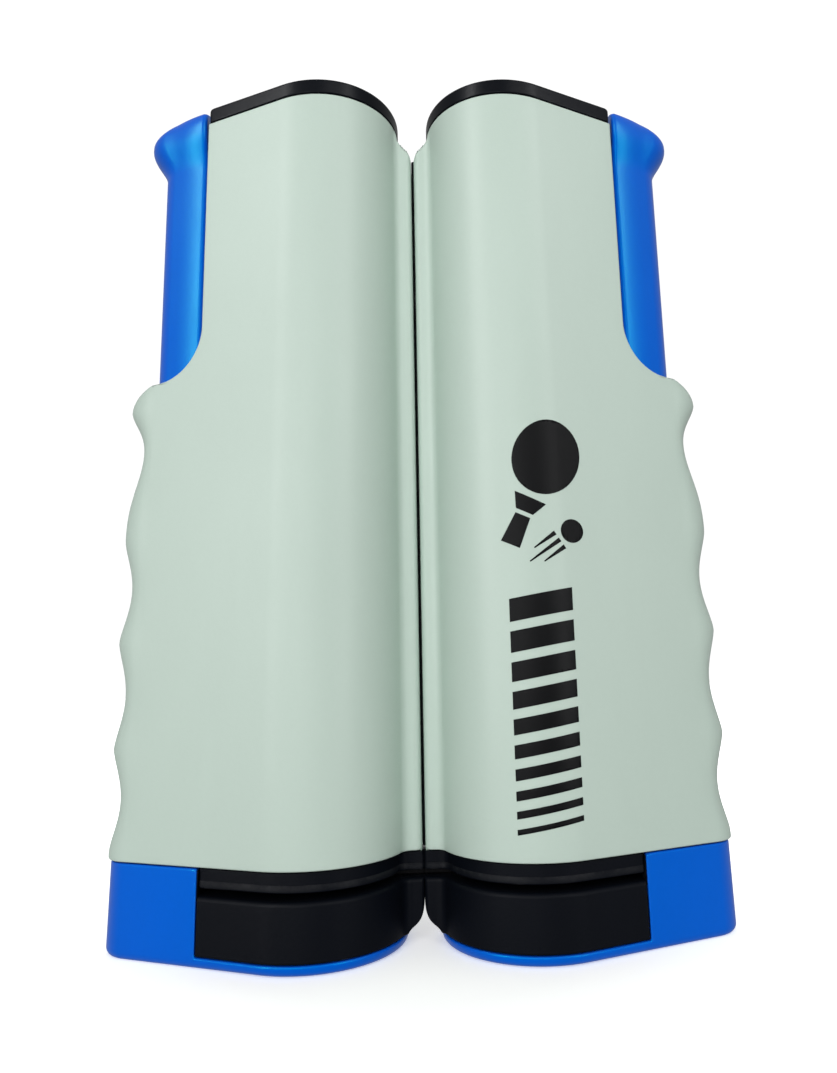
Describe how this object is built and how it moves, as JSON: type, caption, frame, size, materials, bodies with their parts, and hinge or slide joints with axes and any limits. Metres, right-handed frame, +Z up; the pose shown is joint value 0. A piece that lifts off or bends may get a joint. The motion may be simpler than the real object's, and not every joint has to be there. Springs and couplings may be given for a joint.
{
  "type": "table tennis net clamp",
  "caption": "Retractable table tennis net set: mirror-image clamp posts with a sprung thumb handle and lower jaw, a finger grip, and a net on a sprung reel.",
  "frame": {"origin": "centre of the bounding box's base, on the floor, midway between the two closed posts", "axes": "+X from the left post to the right post, along the net; +Y to the back, through the casings' thickness; +Z up along the posts"},
  "size_m": [0.1536, 0.0472, 0.2199],
  "materials": {
    "pale_shell": "satin moulded, fine spark texture",
    "blue_plastic": "satin to semi-gloss moulded",
    "black_plastic": "satin moulded",
    "rubber_pad": "matte, fine ribs",
    "white_plastic": "plain moulded",
    "net_mesh": "knotted nylon mesh",
    "net_tape": "woven tape",
    "steel": "bright zinc"
  },
  "bodies": {
    "left_post": {"left_casing_screw_1": "steel", "left_casing_screw_2": "steel", "left_casing_screw_3": "steel", "left_clamp_spring": "steel", "left_front_shell": "pale_shell", "left_rear_shell": "pale_shell", "left_recoil_spring": "steel", "left_spindle": "steel", "left_spring_guide": "steel", "left_top_cap": "black_plastic", "left_upper_jaw": "black_plastic", "left_upper_jaw_pad": "rubber_pad"},
    "left_jaw": {"left_block_screw_1": "steel", "left_block_screw_2": "steel", "left_handle_screw_1": "steel", "left_handle_screw_2": "steel", "left_jaw_block": "black_plastic", "left_lower_jaw": "blue_plastic", "left_thumb_handle": "blue_plastic"},
    "spool": {"left_lower_bush": "white_plastic", "left_net_roll": "net_mesh", "left_spool_tube": "white_plastic", "left_upper_bush": "white_plastic"},
    "right_post": {"right_casing_screw_1": "steel", "right_casing_screw_2": "steel", "right_casing_screw_3": "steel", "right_clamp_spring": "steel", "right_front_shell": "pale_shell", "right_net_end_rod": "white_plastic", "right_net_web": "net_mesh", "right_rear_shell": "pale_shell", "right_spring_guide": "steel", "right_top_cap": "black_plastic", "right_upper_jaw": "black_plastic", "right_upper_jaw_pad": "rubber_pad"},
    "right_jaw": {"right_block_screw_1": "steel", "right_block_screw_2": "steel", "right_handle_screw_1": "steel", "right_handle_screw_2": "steel", "right_jaw_block": "black_plastic", "right_lower_jaw": "blue_plastic", "right_thumb_handle": "blue_plastic"}
  },
  "joints": [
    {"name": "left_jaw_slide", "type": "slide", "parent": "left_post", "child": "left_jaw", "axis": [0, 0, -1], "range_m": [0, 0.05], "stiffness_N_per_m": 200, "springref_m": -0.03, "deforming": ["left_clamp_spring"]},
    {"name": "right_jaw_slide", "type": "slide", "parent": "right_post", "child": "right_jaw", "axis": [0, 0, -1], "range_m": [0, 0.05], "stiffness_N_per_m": 200, "springref_m": -0.03, "deforming": ["right_clamp_spring"]},
    {"name": "net_pull", "type": "slide", "parent": "left_post", "child": "right_post", "axis": [1, 0, 0], "range_m": [0, 1.65], "stiffness_N_per_m": 1.5, "springref_m": -1.5},
    {"name": "spool_spin", "type": "hinge", "parent": "left_post", "child": "spool", "pos_m": [-0.027, 0, 0.1], "axis": [0, 0, 1], "range_deg": [0, 8600]}
  ],
  "couplings": [
    {"joint": "spool_spin", "follows": "net_pull", "rad_per_m": 88}
  ]
}
